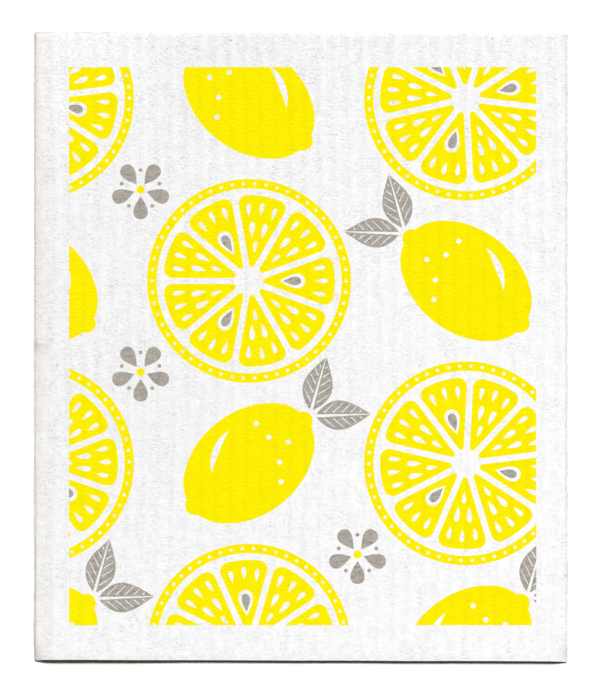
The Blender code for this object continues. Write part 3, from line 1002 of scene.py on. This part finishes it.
def cloth_material():
    """White cellulose with fine pores and striations, and two inks that sink into it."""
    made = bpy.data.materials.new("printed_cloth")
    made.use_nodes = True
    tree = made.node_tree
    surface = Surface(tree)
    textures = cloth_textures(surface)
    rib = surface.value("rib")
    coarseness = COARSENESS + textures["clouds"] * CLOUD_COARSENESS + (0.5 - rib) * FURROW_COARSENESS
    coarseness = coarseness + surface.x * COARSENESS_SLOPE[0] + surface.y * COARSENESS_SLOPE[1]
    coarseness = coarseness.at_least(LEAST_COARSENESS)

    bare = marked_cloth(surface, textures, bare_tone(surface, textures, rib, coarseness))
    # The cut edge, tan and darkened partly as painted shade
    cut_edge = surface.toned(linear(CUT_EDGE), weighted(CUT_TONE, textures, CUT_TONES))
    yellow_ink = surface.toned(linear(YELLOW_INK), weighted(YELLOW_TONE, textures, YELLOW_TONES))
    grey_ink = surface.toned(linear(GREY_INK), weighted(GREY_TONE, textures, GREY_TONES))
    yellow_share, grey_share = ink_shares(surface)
    colour = surface.mixed(surface.value("cut_face"), bare, cut_edge)
    colour = surface.mixed(yellow_share, colour, yellow_ink)
    colour = surface.mixed(grey_share, colour, grey_ink)

    relief = weighted(0.0, textures, HEIGHTS) + coarseness * weighted(0.0, textures, COARSE_HEIGHTS)
    bump = tree.nodes.new("ShaderNodeBump")
    bump.inputs["Strength"].default_value = 1.0
    bump.inputs["Distance"].default_value = MM
    tree.links.new(relief.socket, bump.inputs["Height"])

    shader = tree.nodes["Principled BSDF"]
    tree.links.new(colour, shader.inputs["Base Color"])
    tree.links.new(bump.outputs["Normal"], shader.inputs["Normal"])
    shader.inputs["Roughness"].default_value = SURFACE_ROUGHNESS
    shader.inputs["Specular IOR Level"].default_value = SURFACE_SPECULAR
    return made


def seen_directly(tree):
    """1 for rays that come from the camera, or by way of a reflection or a clear pane."""
    path = tree.nodes.new("ShaderNodeLightPath")
    camera, glossy, clear = (
        Field(tree, path.outputs[name])
        for name in ("Is Camera Ray", "Is Glossy Ray", "Is Transmission Ray")
    )
    return camera.at_least(glossy).at_least(clear)


def by_ray(tree, seen, unseen):
    """The first shader where it is seen directly, and the second for the light that it sends on."""
    mix = tree.nodes.new("ShaderNodeMixShader")
    tree.links.new(seen_directly(tree).socket, mix.inputs["Fac"])
    tree.links.new(unseen.outputs[0], mix.inputs[1])
    tree.links.new(seen.outputs[0], mix.inputs[2])
    return mix.outputs[0]


def table():
    """A pale grey table, which shows as white where it is seen directly, and keeps its shadows."""
    bpy.ops.mesh.primitive_plane_add(size=TABLE_SIZE, location=(0, 0, 0))
    floor = bpy.context.object
    floor.name = "table_top"
    made = bpy.data.materials.new("white_table")
    made.use_nodes = True
    tree = made.node_tree
    tree.nodes.remove(tree.nodes["Principled BSDF"])
    plain = tree.nodes.new("ShaderNodeBsdfDiffuse")
    plain.inputs["Color"].default_value = (TABLE_TONE, TABLE_TONE, TABLE_TONE, 1)
    bright = tree.nodes.new("ShaderNodeBsdfDiffuse")
    bright.inputs["Color"].default_value = (TABLE_WHITE, TABLE_WHITE, TABLE_WHITE, 1)
    tree.links.new(by_ray(tree, bright, plain), tree.nodes["Material Output"].inputs["Surface"])
    floor.data.materials.append(made)


def key_light():
    """A key light from beyond the back edge, a little to the right. Its colour makes up for the dome's."""
    key = bpy.data.lights.new("key", "SUN")
    colour = [(1 - (1 - KEY_SHARE) * part) / KEY_SHARE for part in DOME_COLOUR]
    key.color = [part / max(colour) for part in colour]
    key.energy = pi * KEY_SHARE / sin(KEY_ELEVATION) * max(colour)
    key.angle = KEY_ANGLE
    lamp = bpy.data.objects.new("key", key)
    flat = cos(KEY_ELEVATION)
    towards = Vector((flat * sin(KEY_AZIMUTH), flat * cos(KEY_AZIMUTH), sin(KEY_ELEVATION)))
    lamp.rotation_euler = towards.to_track_quat("Z", "Y").to_euler()
    bpy.context.scene.collection.objects.link(lamp)


def studio():
    """A soft warm dome, which shows as a white backdrop where it is seen directly."""
    world = bpy.data.worlds.new("studio")
    bpy.context.scene.world = world
    world.use_nodes = True
    tree = world.node_tree
    dome = tree.nodes["Background"]
    dome.inputs["Color"].default_value = (*DOME_COLOUR, 1)
    dome.inputs["Strength"].default_value = 1 - KEY_SHARE
    backdrop = tree.nodes.new("ShaderNodeBackground")
    backdrop.inputs["Color"].default_value = (1, 1, 1, 1)
    tree.links.new(by_ray(tree, backdrop, dome), tree.nodes["World Output"].inputs["Surface"])


def camera():
    data = bpy.data.cameras.new("camera")
    data.lens = LENS_MM
    data.sensor_width = SENSOR_MM
    data.clip_end = CAMERA_SEES_TO
    seen = bpy.data.objects.new("camera", data)
    distance = FRAME_PIXELS[1] / PIXELS_PER_METRE * LENS_MM / SENSOR_MM
    left = (FRAME_PIXELS[0] / 2 - CLOTH_MIDDLE_PIXEL[0]) / PIXELS_PER_METRE
    up = (CLOTH_MIDDLE_PIXEL[1] - FRAME_PIXELS[1] / 2) / PIXELS_PER_METRE
    seen.location = (left, up, THICKNESS + distance)
    bpy.context.scene.collection.objects.link(seen)
    bpy.context.scene.camera = seen
    bpy.context.scene.view_settings.view_transform = "Standard"


camera()
key_light()
studio()
table()
cloth = sponge_cloth()
cloth.data.materials.append(cloth_material())
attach(cloth, "root")
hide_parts("sponge_cloth")
